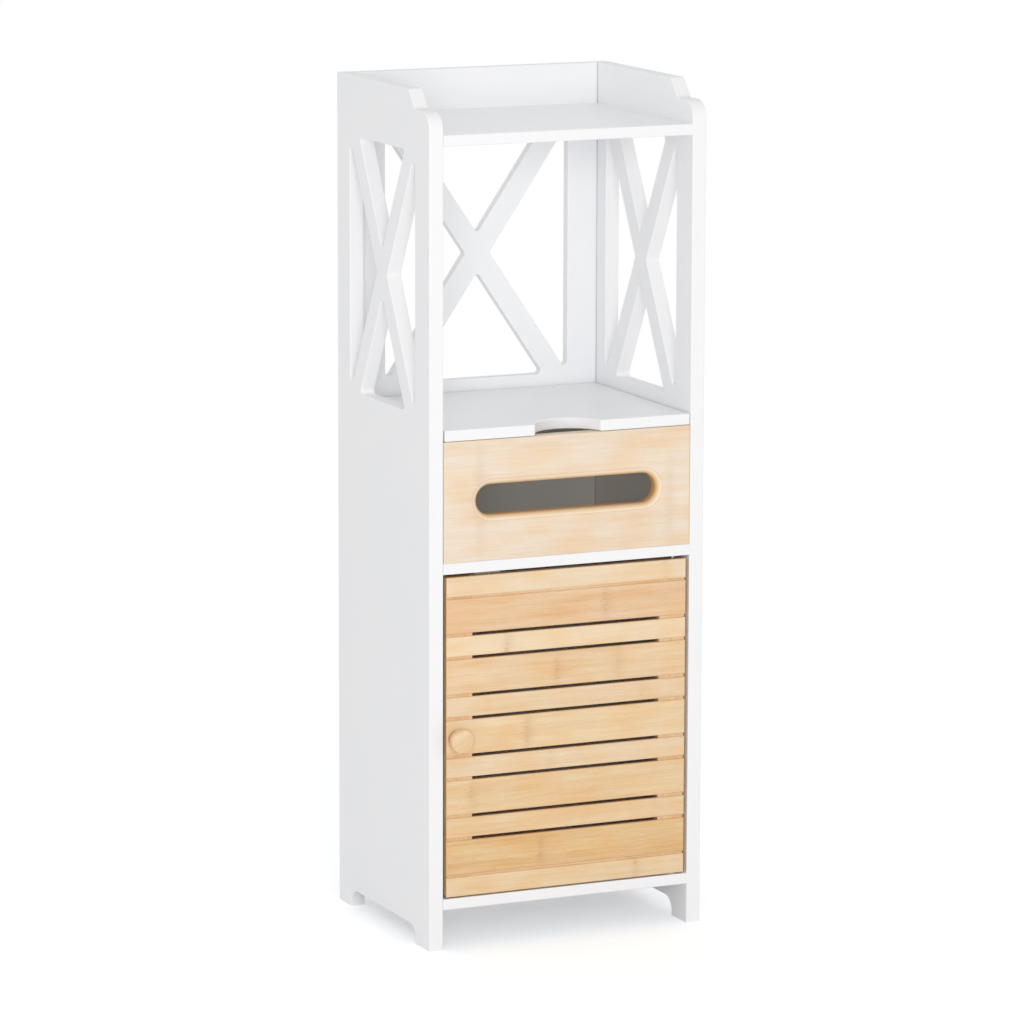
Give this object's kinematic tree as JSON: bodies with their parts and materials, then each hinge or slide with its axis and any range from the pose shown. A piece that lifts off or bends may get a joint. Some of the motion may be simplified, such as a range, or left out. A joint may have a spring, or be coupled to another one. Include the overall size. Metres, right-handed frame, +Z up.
{
  "type": "narrow shelving unit",
  "caption": "Tall narrow bathroom shelf unit with an open top tray, crossed-bar open bay, lift-up lid over a slotted bamboo front, and a slatted bamboo door.",
  "frame": {"origin": "on the floor, under the middle of the overall box, knob included", "axes": "+Z up, -Y towards the front, so +X is to the right for someone facing the door"},
  "size_m": [0.322, 0.271, 0.92],
  "materials": {
    "white_board": "white satin lacquer on fibreboard",
    "bamboo": "satin varnished bamboo",
    "dowel_beech": "plain beech",
    "steel": "bright zinc-plated",
    "nylon": "white moulded nylon",
    "magnet": "dark ferrite"
  },
  "bodies": {
    "cabinet": {"left_side_panel": "white_board", "right_side_panel": "white_board", "back_panel": "white_board", "top_shelf": "white_board", "divider_shelf": "white_board", "bottom_shelf": "white_board", "slotted_front_panel": "bamboo", "door_bush_upper": "nylon", "door_bush_lower": "nylon", "lid_bush_left": "nylon", "lid_bush_right": "nylon", "catch_housing": "nylon", "catch_magnet": "magnet", "catch_screws": "steel", "cam_bolts": "steel", "cam_locks": "steel", "shelf_dowels": "dowel_beech", "front_dowels": "dowel_beech", "back_dowels": "dowel_beech", "back_screws": "steel"},
    "door": {"door_slat_01": "bamboo", "door_slat_02": "bamboo", "door_slat_03": "bamboo", "door_slat_04": "bamboo", "door_slat_05": "bamboo", "door_slat_06": "bamboo", "door_slat_07": "bamboo", "door_slat_08": "bamboo", "door_slat_09": "bamboo", "door_slat_10": "bamboo", "door_slat_11": "bamboo", "door_stile_left": "bamboo", "door_stile_right": "bamboo", "door_rail_top": "bamboo", "door_rail_bottom": "bamboo", "door_frame_dowels": "dowel_beech", "door_knob": "bamboo", "knob_screw": "steel", "door_pin_upper": "steel", "door_pin_lower": "steel", "strike_plate": "steel", "strike_screw": "steel"},
    "lid": {"lid": "white_board", "lid_pin_left": "steel", "lid_pin_right": "steel"}
  },
  "joints": [
    {"name": "door_hinge", "type": "hinge", "parent": "cabinet", "child": "door", "pos_m": [0.12925, -0.1045, 0.0575], "axis": [0, 0, 1], "range_deg": [0, 110]},
    {"name": "lid_hinge", "type": "hinge", "parent": "cabinet", "child": "lid", "pos_m": [0, 0.1145, 0.5575], "axis": [-1, 0, 0], "range_deg": [0, 90]}
  ]
}
